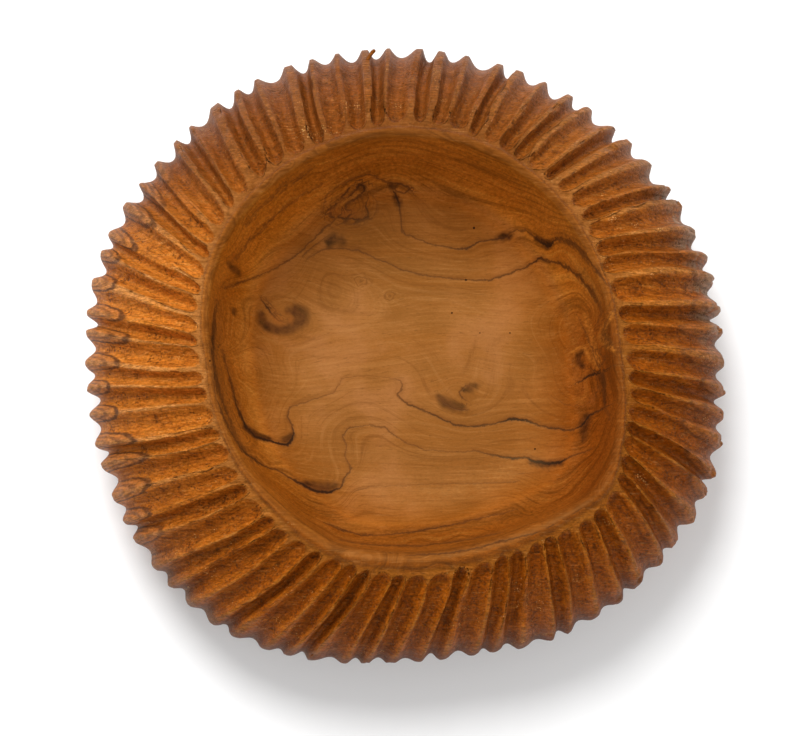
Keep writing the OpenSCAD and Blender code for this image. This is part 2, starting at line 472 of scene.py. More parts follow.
def add_camera():
    data = bpy.data.cameras.new("camera")
    camera = bpy.data.objects.new("camera", data)
    bpy.context.scene.collection.objects.link(camera)
    data.sensor_fit = "HORIZONTAL"
    data.sensor_width = SENSOR_MM
    data.lens = SENSOR_MM * CAMERA_DISTANCE_MM / (PHOTO_WIDTH_PX * MM_PER_PX)
    camera.location = Vector(camera_place_mm() * MM)
    camera.rotation_euler = (QUARTER_TURN - CAMERA_ELEVATION, 0.0, 0.0)
    bpy.context.scene.camera = camera


# Light and floor

def add_lamp(name, place, size, power):
    data = bpy.data.lights.new(name, "AREA")
    data.shape = "DISK"
    data.size = size
    data.energy = power
    lamp = bpy.data.objects.new(name, data)
    bpy.context.scene.collection.objects.link(lamp)
    lamp.location = place
    lamp.rotation_euler = (Vector(LAMP_AIM) - Vector(place)).to_track_quat("-Z", "Y").to_euler()


def add_world():
    world = bpy.data.worlds.new("world")
    bpy.context.scene.world = world
    world.use_nodes = True
    background = world.node_tree.nodes["Background"]
    background.inputs["Color"].default_value = (1.0, 1.0, 1.0, 1.0)
    background.inputs["Strength"].default_value = WORLD_STRENGTH


def add_floor():
    size = FLOOR_REACH
    mesh = bpy.data.meshes.new("floor")
    mesh.from_pydata(
        [(-size, -size, 0.0), (size, -size, 0.0), (size, size, 0.0), (-size, size, 0.0)],
        [], [(0, 1, 2, 3)])
    floor = bpy.data.objects.new("floor", mesh)
    bpy.context.scene.collection.objects.link(floor)
    material = bpy.data.materials.new("floor_white")
    material.use_nodes = True
    shader = material.node_tree.nodes["Principled BSDF"]
    shader.inputs["Base Color"].default_value = (FLOOR_TONE, FLOOR_TONE, FLOOR_TONE, 1.0)
    shader.inputs["Roughness"].default_value = 0.9
    mesh.materials.append(material)


def add_lights():
    for name, (place, size, power) in LAMPS.items():
        add_lamp(name, place, size, power)


# The bowl's mesh

def bowl_mesh():
    """The bowl as one closed mesh, with what each point knows of its place on the surface."""
    rings = bowl_rings()
    ends = np.array([[0.0, 0.0, 0.0], [0.0, 0.0, HOLLOW_FLOOR_MM]])
    points = np.concatenate(rings.points + [ends])
    marks = {
        name: np.concatenate(values + [np.array([0.0, 1.0 if name == "hollow" else 0.0])])
        for name, values in rings.marks.items()
    }
    base_centre = len(points) - 2
    faces = bowl_faces(rings.counts, base_centre, base_centre + 1)
    return points, faces, marks


def normals_of(points, faces):
    corners = points[faces]
    normal = np.cross(corners[:, 1] - corners[:, 0], corners[:, 2] - corners[:, 0])
    total = np.zeros_like(points)
    for corner in range(3):
        np.add.at(total, faces[:, corner], normal)
    return total / np.maximum(np.linalg.norm(total, axis=1, keepdims=True), 1e-12)


def worn(points, faces, marks):
    """The surface with the marks of the handwork: chatter in the flutes, chipped ridges
    and a hollow that isn't quite even. Everything is cut inward, so the size stays."""
    hollow, height = marks["hollow"], points[:, 2]
    fluted = (1.0 - smooth(hollow, 0.0, 0.3)) * smooth(height, 6.0, 20.0)
    crest = (1.0 - smooth(marks["valley"], 0.03, 0.3)) * fluted
    lip = smooth(height, FLUTE_END_MM - 12.0, FLUTE_END_MM) * (1.0 - smooth(hollow, 0.5, 1.0))
    at_rim = 1.0 - smooth(np.abs(marks["along"] - 4.0), 8.0, 22.0)
    tips = crest * at_rim * smooth(points[:, 0], 110.0, 160.0)
    waves = 0.5 + 0.5 * noise(points, 12.0, 12)
    rough = (0.5 + 0.5 * noise(points, 2.3, 16)) * smooth(noise(points, 18.0, 17), -0.2, 0.5)
    cuts = [
        (fluted, CHATTER_MM, 0.5 + 0.5 * noise(points, 4.2, 11)),
        (fluted, WAVES_MM, waves),
        (fluted, ROUGH_MM, rough),
        (crest, CHIPS_MM, np.clip(noise(points, 4.5, 13) - 0.3, 0.0, None)),
        (crest, NICKS_MM, np.clip(noise(points, 12.0, 14) - 0.2, 0.0, None)),
        (tips, BROKEN_TIPS_MM, np.clip(noise(points, 8.0, 18) + 0.1, 0.0, None)),
        (hollow, UNEVEN_HOLLOW_MM, 0.5 + 0.5 * noise(points, 34.0, 15)),
        (lip, LIP_WAVES_MM, waves),
    ]
    cut = sum(place * depth_mm * pattern for place, depth_mm, pattern in cuts)
    above_base = smooth(height, 0.0, 6.0)
    return points - normals_of(points, faces) * (cut * above_base)[:, None]


# Layers of the wood

class Seen:
    """Finds the surface points that the camera sees at pixels of the photograph."""

    def __init__(self, points, faces):
        self.tree = BVHTree.FromPolygons(points.tolist(), faces.tolist())
        self.eye = Vector(camera_place_mm())

    def at(self, pixels):
        found = []
        for right_px, down_px in (pixel[:2] for pixel in pixels):
            right = (right_px - PHOTO_WIDTH_PX / 2.0) * MM_PER_PX
            up = (PHOTO_HEIGHT_PX / 2.0 - down_px) * MM_PER_PX
            target = Vector(CAMERA_AIM_MM) + Vector((
                right, up * math.sin(CAMERA_ELEVATION), up * math.cos(CAMERA_ELEVATION)))
            hit = self.tree.ray_cast(self.eye, (target - self.eye).normalized())[0]
            if hit is not None:
                found.append(tuple(hit))
        return np.array(found)


# Growth lines, drawn along the photograph's pixels: layer number, then each point's
# pixel and how strong the line is there. Two lines that run close are in different groups.
GROWTH_LINES_PX = {
    "first": [
        (2, [(395, 194, 0.7), (398, 200, 0.8), (400, 209, 0.5), (402, 232, 0.5), (416, 239, 0.5),
             (433, 244, 0.5), (450, 248, 0.55), (467, 249, 0.7), (480, 241, 0.6), (494, 239, 0.6),
             (505, 238, 0.7), (510, 233, 0.4), (517, 230, 0.45), (526, 231, 0.5), (535, 237, 0.6),
             (543, 243, 0.8), (550, 246, 1.0), (554, 240, 0.7), (560, 239, 0.6), (570, 242, 0.62),
             (580, 249, 0.58), (590, 262, 0.58), (600, 276, 0.58), (614, 294, 0.45)]),
        (1, [(222, 350, 0.5), (229, 376, 0.6), (238, 410, 0.75), (246, 427, 0.9), (256, 437, 1.0),
             (270, 441, 0.8), (288, 446, 1.0), (294, 434, 0.8), (292, 424, 0.6), (287, 416, 0.6),
             (290, 408, 0.5), (300, 404, 0.4), (318, 398, 0.4), (335, 392, 0.3), (342, 379, 0.3),
             (360, 376, 0.15), (380, 377, 0.15), (395, 379, 0.3), (402, 381, 0.4), (403, 388, 0.5),
             (397, 395, 0.6), (404, 402, 0.6), (413, 406, 0.7), (424, 411, 0.6), (436, 416, 0.7),
             (455, 425, 0.7), (468, 427, 0.7), (480, 426, 0.7), (493, 424, 0.6), (505, 421, 0.8),
             (513, 419, 1.0), (527, 420, 0.8), (540, 426, 0.6), (555, 429, 0.7), (575, 430, 0.6),
             (585, 423, 0.9), (590, 415, 0.8), (604, 408, 0.6)]),
        (3, [(352, 492, 0.2), (370, 487, 0.3), (410, 485, 0.25), (475, 483, 0.3), (515, 482, 0.35)]),
        (5, [(340, 540, 0.4), (370, 545, 0.5), (420, 546, 0.6), (460, 541, 0.5), (500, 533, 0.5)]),
        (4, [(217, 300, 0.4), (214, 320, 0.6), (213, 339, 0.8), (213, 358, 0.65), (215, 373, 0.75),
             (219, 392, 0.6), (225, 409, 0.65), (237, 437, 0.5), (252, 462, 0.4)]),
        (4, [(232, 262, 0.3), (250, 240, 0.4), (275, 215, 0.4), (300, 196, 0.3), (322, 184, 0.3)]),
    ],
    "second": [
        (2, [(225, 288, 0.4), (240, 282, 0.5), (256, 277, 0.5), (275, 268, 0.4), (295, 257, 0.5),
             (312, 241, 0.5), (325, 228, 0.5), (337, 218, 0.4)]),
        (1, [(310, 257, 0.3), (318, 252, 0.4), (326, 249, 0.5), (340, 248, 0.4), (357, 250, 0.5),
             (380, 260, 0.5), (402, 270, 0.5), (420, 275, 0.5), (438, 277, 0.5), (467, 280, 0.55),
             (490, 280, 0.6), (508, 274, 0.6), (524, 268, 0.6), (540, 258, 0.75), (547, 261, 0.65),
             (558, 263, 0.62), (568, 268, 0.65), (580, 277, 0.7), (592, 292, 0.6), (598, 303, 0.5)]),
        (2, [(210, 345, 0.3), (212, 375, 0.4), (217, 401, 0.5), (228, 426, 0.7), (236, 441, 0.7),
             (245, 453, 0.8), (262, 465, 0.7), (279, 471, 0.5), (298, 482, 0.8), (310, 489, 0.9),
             (318, 492, 1.0), (330, 492, 0.9), (340, 488, 0.7), (346, 476, 0.6), (352, 468, 0.5),
             (345, 458, 0.4), (347, 446, 0.4), (342, 436, 0.5), (350, 427, 0.5), (370, 425, 0.4),
             (385, 428, 0.5), (394, 435, 0.5), (402, 441, 0.4), (425, 450, 0.4), (453, 452, 0.3),
             (475, 451, 0.4), (500, 457, 0.7), (515, 459, 0.8), (525, 457, 0.6), (533, 461, 1.0),
             (548, 464, 1.0), (560, 462, 1.0), (567, 458, 0.6), (576, 455, 0.5), (590, 450, 0.4)]),
        (4, [(325, 523, 0.4), (345, 531, 0.6), (360, 535, 0.6), (385, 535, 0.5), (410, 532, 0.6),
             (440, 527, 0.6), (460, 523, 0.5), (480, 518, 0.5), (500, 514, 0.4), (515, 510, 0.3)]),
        (6, [(410, 556, 0.4), (430, 554, 0.6), (450, 553, 0.6), (475, 549, 0.6), (500, 541, 0.6),
             (525, 536, 0.6), (545, 530, 0.6), (565, 520, 0.6), (580, 510, 0.5), (600, 500, 0.4)]),
        (5, [(245, 225, 0.3), (262, 205, 0.3), (285, 185, 0.35), (312, 168, 0.3)]),
    ],
}

# Lines that belong to knots and cracks, drawn in the same way, with no layer of their own
KNOT_LINES_PX = [
    [(350, 188, 0.6), (345, 194, 0.6), (340, 200, 0.55), (332, 207, 0.5), (325, 214, 0.5),
     (335, 218, 0.6), (345, 219, 0.65), (365, 219, 0.65), (368, 217, 0.6), (366, 205, 0.55)],
    [(350, 196, 0.6), (355, 189, 0.6), (360, 184, 0.7), (365, 186, 0.7), (364, 192, 0.65),
     (357, 197, 0.55), (350, 202, 0.5), (344, 208, 0.6), (349, 211, 0.45)],
    [(323, 210, 0.3), (326, 196, 0.35), (340, 185, 0.35), (356, 177, 0.4), (368, 174, 0.45),
     (380, 179, 0.45), (388, 182, 0.5), (402, 184, 0.6), (410, 188, 0.6), (404, 193, 0.5),
     (396, 191, 0.5), (391, 187, 0.5)],
    [(374, 196, 0.2), (378, 206, 0.25), (374, 218, 0.25), (362, 225, 0.25), (344, 224, 0.25)],
    [(334, 210, 0.25), (338, 203, 0.25), (347, 197, 0.25)],
    [(261, 299, 0.4), (265, 304, 0.7), (269, 310, 0.75), (273, 315, 0.5)],
    [(265, 298, 0.3), (270, 304, 0.4), (276, 311, 0.3)],
    [(273, 315, 0.4), (279, 321, 0.4), (286, 323, 0.25)], [(274, 312, 0.35), (283, 316, 0.35)],
    [(579, 382, 0.5), (585, 378, 0.8), (592, 374, 0.85), (598, 374, 0.85), (604, 371, 0.7)],
    [(578, 318, 0.3), (584, 330, 0.4), (590, 344, 0.45), (594, 356, 0.5), (599, 368, 0.6)],
    [(614, 310, 0.4), (606, 322, 0.45), (602, 334, 0.5), (609, 342, 0.5), (615, 350, 0.4)],
    [(604, 345, 0.35), (598, 352, 0.4), (606, 358, 0.4), (601, 366, 0.5)],
    [(598, 300, 0.4), (602, 312, 0.4), (596, 326, 0.3)],
    [(602, 372, 0.5), (605, 382, 0.45), (604, 395, 0.4), (605, 407, 0.4), (610, 420, 0.3)],
    [(596, 378, 0.3), (599, 388, 0.35), (594, 398, 0.3)],
    [(554, 398, 0.2), (566, 405, 0.25), (582, 406, 0.25), (594, 400, 0.25)],
    [(464, 388, 0.5), (460, 391, 0.55), (460, 396, 0.6), (464, 399, 0.5)],
    [(439, 397, 0.3), (444, 403, 0.5), (452, 408, 0.6), (464, 410, 0.5)],
]

# Soft marks, drawn in the same way: each point's pixel and half the mark's width in millimetres
SOFT_MARKS_PX = {
    "dark": [
        [(261, 314, 2.4), (262, 321, 3.2), (268, 327, 3.2), (278, 330, 3.0), (289, 329, 3.4),
         (296, 324, 4.2), (301, 319, 5.0), (303, 314, 4.4), (297, 311, 4.2), (291, 311, 2.8)],
        [(439, 397, 2.0), (444, 402, 3.4), (454, 406, 3.4), (464, 408, 1.8)],
        [(464, 390, 1.4), (470, 388, 2.8), (477, 385, 1.6)],
        [(327, 240, 2.2), (334, 239, 3.6), (343, 241, 2.4)], [(334, 236, 2.4), (330, 244, 2.4)],
        [(497, 238, 1.4), (504, 236, 2.6), (510, 237, 1.8)], [(536, 239, 1.2), (548, 245, 2.0)],
        [(586, 416, 2.2), (585, 423, 3.0), (584, 432, 2.2), (583, 440, 1.4)],
        [(528, 462, 1.4), (545, 465, 2.4), (562, 463, 1.6)],
        [(358, 187, 1.4), (364, 188, 1.8)], [(391, 187, 1.6), (396, 186, 1.2)],
        [(395, 197, 1.8), (399, 204, 1.8)],
        [(232, 268, 2.0), (237, 271, 2.2)], [(234, 310, 1.4), (234, 313, 1.4)],
        [(585, 350, 1.4), (579, 354, 1.8), (578, 361, 1.8), (583, 367, 1.4)],
        [(601, 376, 1.2), (604, 386, 0.7), (605, 404, 0.6)],
        [(606, 326, 1.0), (603, 336, 1.2), (610, 346, 1.2)],
        [(246, 428, 2.0), (256, 435, 2.4), (268, 439, 2.0)], [(284, 440, 2.0), (291, 436, 2.2)],
        [(306, 484, 2.4), (320, 487, 3.2), (334, 486, 2.6)],
    ],
    "warm": [
        [(274, 314, 3.0), (280, 319, 4.0), (288, 318, 3.0)],
        [(596, 390, 1.8), (592, 404, 2.2)], [(332, 212, 2.0), (352, 214, 3.0), (364, 216, 2.0)],
    ],
    "pale": [
        [(584, 313, 1.2), (589, 330, 1.6), (594, 350, 1.8), (598, 366, 1.4)],
        [(612, 314, 1.0), (606, 324, 1.3), (600, 336, 1.5), (607, 344, 1.2), (614, 351, 0.9)],
        [(572, 352, 1.0), (584, 346, 1.2), (592, 362, 1.0)],
    ],
}

# Knots and marks on the floor: pixel, half sizes in millimetres, turn in degrees, strength
RING_KNOTS = [((350, 206), (17.0, 13.0), 20.0, 0.34), ((362, 281), (6.5, 4.5), 0.0, 0.42),
              ((391, 296), (5.5, 4.5), 0.0, 0.42), ((586, 360), (9.0, 9.0), 0.0, 0.25),
              ((284, 318), (24.0, 15.0), -10.0, 0.1), ((459, 397), (15.0, 9.0), -30.0, 0.08)]

# The names under which the mesh holds the drawn lines
LINE_MARKS = ("first_lines", "second_lines", "knot_lines")

# Places on the floor that lie well inside the first layer
CORE_LEVEL = 0.45
CORE_PX = [(450, 315), (380, 315), (520, 320), (450, 355), (330, 330), (540, 360), (280, 360)]

# The layers rise with the wall, wrap round the ends of the block and waver on the outside
LEVELS_PER_MM = 0.045
LEVELS_PER_END_MM = 0.09
BLOCK_END_MM = 168.0
WAVER = 0.12

# Circles that hold the layers outside the hollow: radius in millimetres, level and places
OUTER_LEVELS = [(150.0, 2.6, 20), (215.0, 3.4, 24)]

# Beyond this distance from a drawn line it has no effect
FAR_MM = 8.0

# How far the fibres part round a knot, as a share of its size, and how high that reaches
PARTING_SHARE = 0.9
PARTING_HEIGHT_MM = 25.0


def bend_weights(places, values, slack):
    """A thin plate bent through values at places, or near them where it has slack, as weights."""
    count = len(places)
    far = np.linalg.norm(places[:, None] - places[None], axis=2)
    kernel = far ** 2 * np.log(far + 1e-9)
    sides = np.concatenate([np.ones((count, 1)), places], axis=1)
    matrix = np.block([
        [kernel + slack * np.eye(count), sides],
        [sides.T, np.zeros((3, 3))],
    ])
    return np.linalg.solve(matrix, np.concatenate([values, np.zeros(3)]))


def bent_plate(places, weights, at):
    result = weights[-3] + at[:, 0] * weights[-2] + at[:, 1] * weights[-1]
    for place, weight in zip(places, weights):
        far = np.linalg.norm(at - place, axis=1)
        result = result + weight * far ** 2 * np.log(far + 1e-9)
    return result


def wood_layers(points, seen):
    """The number of growth layers at each point: whole numbers are the dark lines."""
    places, values = [], []
    for level, pixels in GROWTH_LINES_PX["first"] + GROWTH_LINES_PX["second"]:
        hits = seen.at(pixels)
        places.append(hits[:, :2])
        values.append(level - LEVELS_PER_MM * (hits[:, 2] - HOLLOW_FLOOR_MM))
    core = seen.at(CORE_PX)
    places.append(core[:, :2])
    values.append(np.full(len(core), CORE_LEVEL))
    for radius, level, count in OUTER_LEVELS:
        turn = np.arange(count) / count * FULL_TURN
        places.append(radius * np.stack([np.cos(turn), np.sin(turn)], axis=1))
        values.append(level + 0.35 * np.sin(3.0 * turn + radius))
    places, values = np.concatenate(places), np.concatenate(values)
    layers = bent_plate(places, bend_weights(places, values, 2.0), points[:, :2])
    layers = layers + LEVELS_PER_MM * (points[:, 2] - HOLLOW_FLOOR_MM)
    layers = layers + LEVELS_PER_END_MM * np.clip(np.abs(points[:, 0]) - BLOCK_END_MM, 0.0, None)
    outer = smooth(np.hypot(points[:, 0], points[:, 1]), 90.0, 140.0)
    return layers + WAVER * noise(points, 22.0, 21) * outer


def stretches(pixels, spots, seen):
    """For each stretch of a drawn line: how far every spot lies from it on the plan, on which
    side, and the number that the line has at the nearest place."""
    hits = seen.at(pixels)[:, :2]
    numbers = [pixel[2] for pixel in pixels]
    for start, end, first, last in zip(hits[:-1], hits[1:], numbers[:-1], numbers[1:]):
        along = end - start
        share = np.clip((spots - start) @ along / (along @ along), 0.0, 1.0)
        off = spots - start - share[:, None] * along
        side = np.sign(along[0] * off[:, 1] - along[1] * off[:, 0])
        yield np.linalg.norm(off, axis=1), side, mix(first, last, share)


def drawn_lines(points, near, seen, lines_px):
    """For each point its distance from the nearest drawn line, below zero to the line's right,
    how strong the line is there, and nothing."""
    spots = points[near, :2]
    best, side, power = np.full(len(near), FAR_MM), np.ones(len(near)), np.zeros(len(near))
    for pixels in lines_px:
        for far, its_side, its_power in stretches(pixels, spots, seen):
            closer = far < best
            best = np.where(closer, far, best)
            side = np.where(closer, its_side, side)
            power = np.where(closer, its_power, power)
    found = np.tile([FAR_MM, 0.0, 0.0], (len(points), 1))
    found[near, 0] = best * side
    found[near, 1] = power * (1.0 - smooth(best, 2.0, FAR_MM))
    return found


def soft_marks(points, near, seen, marks_px):
    """How much each point lies in one of the soft marks, from 0 to 1."""
    spots = points[near, :2]
    share = np.zeros(len(near))
    for pixels in marks_px:
        for far, _, width_mm in stretches(pixels, spots, seen):
            share = np.maximum(share, 1.0 - smooth(far / width_mm, 0.45, 1.6))
    marked = np.zeros(len(points))
    marked[near] = share
    return marked


def fibre_flow(points, seen):
    """The across-fibre place of each point: the fibres run along X and part round the knots."""
    flow = points[:, 1].copy()
    centres = seen.at([knot[0] for knot in RING_KNOTS])
    for centre, (_, radii, _, _) in zip(centres, RING_KNOTS):
        away = points - centre
        size = max(radii)
        round_knot = size ** 2 / ((away[:, :2] ** 2).sum(1) + 0.8 * size ** 2)
        near = np.exp(-(away[:, 2] / PARTING_HEIGHT_MM) ** 2)
        flow = flow - away[:, 1] * PARTING_SHARE * round_knot * near
    return flow + 3.0 * noise(points * [0.35, 1.0, 1.0], 30.0, 31)


# A splinter that curls away from a ridge at the back: where it starts in the photograph, its
# path from there and its thickness
SPLINTER_PX = (367, 59)
SPLINTER_PATH_MM = [(-1.0, -3.0, -2.0), (0.8, 0.6, 0.4), (2.2, 2.4, 1.2), (3.4, 4.0, 1.6),
                    (4.6, 5.0, 1.6), (5.2, 5.3, 1.5)]
SPLINTER_RADII_MM = [1.6, 1.4, 1.2, 1.3, 1.2, 0.6]
SPLINTER_SIDES = 8


def add_splinter(points, faces, marks, seen):
    """Adds a thin curled splinter, rooted in the ridge, to the mesh."""
    path = seen.at([SPLINTER_PX])[0] + np.array(SPLINTER_PATH_MM)
    turn = np.arange(SPLINTER_SIDES) / SPLINTER_SIDES * FULL_TURN
    cosine, sine = np.cos(turn)[:, None], np.sin(turn)[:, None]
    rings = []
    for index, radius in enumerate(SPLINTER_RADII_MM):
        ahead = path[min(index + 1, len(path) - 1)] - path[max(index - 1, 0)]
        ahead = ahead / np.linalg.norm(ahead)
        side = np.cross(ahead, [0.0, 0.0, 1.0])
        side = side / np.linalg.norm(side)
        up = np.cross(side, ahead)
        rings.append(path[index] + radius * (cosine * side + sine * up))
    added = np.concatenate(rings + [path[:1], path[-1:]])
    starts = len(points) + np.arange(len(rings)) * SPLINTER_SIDES
    joined_rings = [
        band(start, SPLINTER_SIDES, start + SPLINTER_SIDES, SPLINTER_SIDES) for start in starts[:-1]]
    root, end = len(points) + len(added) - 2, len(points) + len(added) - 1
    joined_rings.append(cap(root, starts[0], SPLINTER_SIDES, False))
    joined_rings.append(cap(end, starts[-1], SPLINTER_SIDES, True))
    marks = {name: np.concatenate([values, np.zeros(len(added))]) for name, values in marks.items()}
    return np.concatenate([points, added]), np.concatenate([faces] + joined_rings), marks


def set_mark(mesh, name, values):
    kind = "FLOAT_VECTOR" if values.ndim == 2 else "FLOAT"
    field = "vector" if values.ndim == 2 else "value"
    layer = mesh.attributes.new(name, kind, "POINT")
    layer.data.foreach_set(field, values.astype(np.float32).ravel())


def add_flat_map(mesh, points, faces, marks, bowl_points, bowl_face_count):
    """Lays the surface out flat: the hollow and the outside as one disc, the base and the
    splinter small in two corners."""
    reach = 1.0 - marks["along"] / marks["along"].max()
    reach[bowl_points - 1] = 0.0
    turn = np.arctan2(points[:, 1], points[:, 0])
    ways = np.stack([np.cos(turn), np.sin(turn)], axis=1)
    place = (0.5 + 0.49 * reach[:, None] / reach.max() * ways)[faces]
    base = (faces == bowl_points - 2).any(axis=1)
    place[base] = 0.07 + 0.06 * points[faces[base]][..., :2] / OUTLINE_RADIUS_MM
    splinter = points[faces[bowl_face_count:]][..., :2]
    low, high = splinter.reshape(-1, 2).min(0), splinter.reshape(-1, 2).max(0)
    place[bowl_face_count:] = 0.9 + 0.08 * (splinter - low) / (high - low)
    layer = mesh.uv_layers.new(name="OFBake")
    layer.uv.foreach_set("vector", place.astype(np.float32).ravel())


def mesh_of(points, faces):
    mesh = bpy.data.meshes.new("bowl_wood")
    mesh.vertices.add(len(points))
    mesh.vertices.foreach_set("co", (points * MM).astype(np.float32).ravel())
    mesh.loops.add(len(faces) * 3)
    mesh.loops.foreach_set("vertex_index", faces.astype(np.int32).ravel())
    mesh.polygons.add(len(faces))
    mesh.polygons.foreach_set("loop_start", np.arange(len(faces), dtype=np.int32) * 3)
    mesh.update(calc_edges=True)
    mesh.polygons.foreach_set("use_smooth", np.ones(len(faces), bool))
    return mesh


def add_marks(mesh, points, faces, marks, seen):
    """Gives the mesh what the wood's patterns need to know at each point."""
    hollow, valley = marks["hollow"], marks["valley"]
    near = np.flatnonzero(hollow > 0.2)
    lines = [[pixels for _, pixels in group] for group in GROWTH_LINES_PX.values()]
    for name, group in zip(LINE_MARKS, lines + [KNOT_LINES_PX]):
        set_mark(mesh, name, drawn_lines(points, near, seen, group))
    for tone, group in SOFT_MARKS_PX.items():
        set_mark(mesh, tone + "_marks", soft_marks(points, near, seen, group))
    for name in ("number", "along", "hollow", "valley", "tip"):
        set_mark(mesh, name, marks[name])
    set_mark(mesh, "layer", wood_layers(points, seen))
    set_mark(mesh, "flow", fibre_flow(points, seen))
    set_mark(mesh, "crest", (1.0 - smooth(valley, 0.01, 0.12)) * (1.0 - smooth(hollow, 0.0, 0.2)))
    above = smooth(points[:, 2], FLUTE_END_MM - 6.0, FLUTE_END_MM + 1.0)
    set_mark(mesh, "lip", above * (1.0 - smooth(valley, 0.0, 0.4)))
    normal = normals_of(points, faces)
    set_mark(mesh, "steep", smooth(1.0 - normal[:, 2], 0.12, 0.75))
    set_mark(mesh, "end_grain", smooth(np.abs(normal[:, 0]), 0.25, 0.85))


def build_bowl():
    points, faces, marks = bowl_mesh()
    points = worn(points, faces, marks)
    seen = Seen(points, faces)
    bowl_points, bowl_face_count = len(points), len(faces)
    points, faces, marks = add_splinter(points, faces, marks, seen)
    mesh = mesh_of(points, faces)
    add_flat_map(mesh, points, faces, marks, bowl_points, bowl_face_count)
    add_marks(mesh, points, faces, marks, seen)
    bowl = bpy.data.objects.new("bowl_wood", mesh)
    bpy.context.scene.collection.objects.link(bowl)
    return bowl, seen


# Shader values

def step(operation):
    """A method that does one step of arithmetic on a value, with or without another."""
    def method(value, other=0.0):
        return add_node(value.tree, "ShaderNodeMath", {0: value, 1: other}, operation=operation)
    return method


class Value:
    """A value in the shader, to reckon with like a number. Each step adds a node."""

    def __init__(self, tree, socket):
        self.tree = tree
        self.socket = socket

    __add__ = step("ADD")
    __sub__ = step("SUBTRACT")
    __mul__ = step("MULTIPLY")
    __truediv__ = step("DIVIDE")
    __pow__ = step("POWER")
    __abs__ = step("ABSOLUTE")
    sine = step("SINE")
    at_least = step("MAXIMUM")

    def __rsub__(self, other):
        return add_node(self.tree, "ShaderNodeMath", {0: other, 1: self}, operation="SUBTRACT")

    def rise(self, low, high, end=1.0, start=0.0, kind="SMOOTHSTEP"):
        """Goes from start to end while this value goes from low to high."""
        return add_node(self.tree, "ShaderNodeMapRange", {
            "Value": self, "From Min": low, "From Max": high, "To Min": start, "To Max": end,
        }, "Result", interpolation_type=kind)

    def mix(self, first, second, blend="MIX"):
        """The first colour where this value is 0, with the second over it where it is 1."""
        return add_node(self.tree, "ShaderNodeMix", {
            "Factor": self, "A": first, "B": second,
        }, "Result", data_type="RGBA", blend_type=blend)

    def each(self, operation, other):
        """The same step on every part of a vector or a colour."""
        return add_node(self.tree, "ShaderNodeVectorMath", {0: self, 1: other}, operation=operation)

    def length(self):
        return add_node(self.tree, "ShaderNodeVectorMath", {0: self}, "Value", operation="LENGTH")

    def parts(self):
        split = add_node(self.tree, "ShaderNodeSeparateXYZ", {0: self}).socket.node
        return [Value(self.tree, socket) for socket in split.outputs]


def plug(socket, given):
    """Gives an input a number, a colour or another node's value."""
    if isinstance(given, Value):
        given.tree.links.new(given.socket, socket)
    else:
        socket.default_value = given


def add_node(tree, kind, inputs=(), output=0, **settings):
    """Adds a node and gives one of its outputs as a value."""
    node = tree.nodes.new(kind)
    for name, setting in settings.items():
        setattr(node, name, setting)
    for key, given in dict(inputs).items():
        plug(node.inputs[key], given)
    return Value(tree, node.outputs[output])


def rgb(red, green, blue):
    """A colour as it looks on screen, from 0 to 255, as the shader's linear values."""
    def linear(value):
        share = value / 255.0
        return share / 12.92 if share <= 0.04045 else ((share + 0.055) / 1.055) ** 2.4
    return (linear(red), linear(green), linear(blue), 1.0)


def painted(tone, coats):
    """Lays coats over a tone, each with its mask and its colour as it looks on screen. A coat
    that is a tint multiplies the tone, and brightens it where a part is above 255."""
    for mask, colour, *blend in coats:
        tone = mask.mix(tone, rgb(*colour), *blend)
    return tone


def joined(masks):
    total = masks[0]
    for mask in masks[1:]:
        total = total.at_least(mask)
    return total


# Material

TINT = "MULTIPLY"

# Fibres that run along X and part round the knots: how many bumps a millimetre has along and
# across them, how many finer layers the noise has, and how strong those are
FIBRES = {
    "broad": (0.008, 0.09, 4.0, 0.55),
    "streak": (0.016, 0.5, 5.0, 0.62),
    "hair": (0.05, 1.1, 4.0, 0.7),
    "pores": (0.2, 1.3, 2.0, 0.5),
    "pits": (0.22, 0.62, 4.0, 0.68),
}

# Uneven patches with no direction, in the same way
PATCHES = {
    "cloud": (0.022, 3.0, 0.5),
    "patch": (0.07, 3.0, 0.6),
    "mottle": (0.11, 4.0, 0.6),
    "wobble": (0.2, 4.0, 0.62),
    "speck": (0.62, 2.0, 0.6),
    "ragged": (1.1, 2.0, 0.6),
}

# Bands that follow the growth layers: how many there are in a layer, and how much they stray
# with each millimetre along a layer
BANDS = {"bands": 11.0, "wall_bands": 3.6}
BAND_STRAY = 0.012

# Marks of the gouge: how many a flute has across it, and how many a millimetre along it
GOUGE_MARKS = (12.6, 0.06)

# Round specks: how many a millimetre has, and their size as a share of their spacing. The glints are
# painted highlights.
DOTS = {"dots": (0.46, 0.4), "glints": (0.61, 0.26)}

# Insect holes: the photograph's pixel and the radius in millimetres
PINHOLES_PX = [(474, 228, 0.65), (466, 280, 0.6), (452, 313, 0.5), (535, 449, 0.5),
               (510, 333, 0.4), (480, 333, 0.35), (210, 361, 0.45)]

# Rings of end grain round a ridge's outer end: how far out each lies and how dark it is
END_RINGS = [(1.0, 0.9), (0.66, 0.6), (0.36, 0.4)]


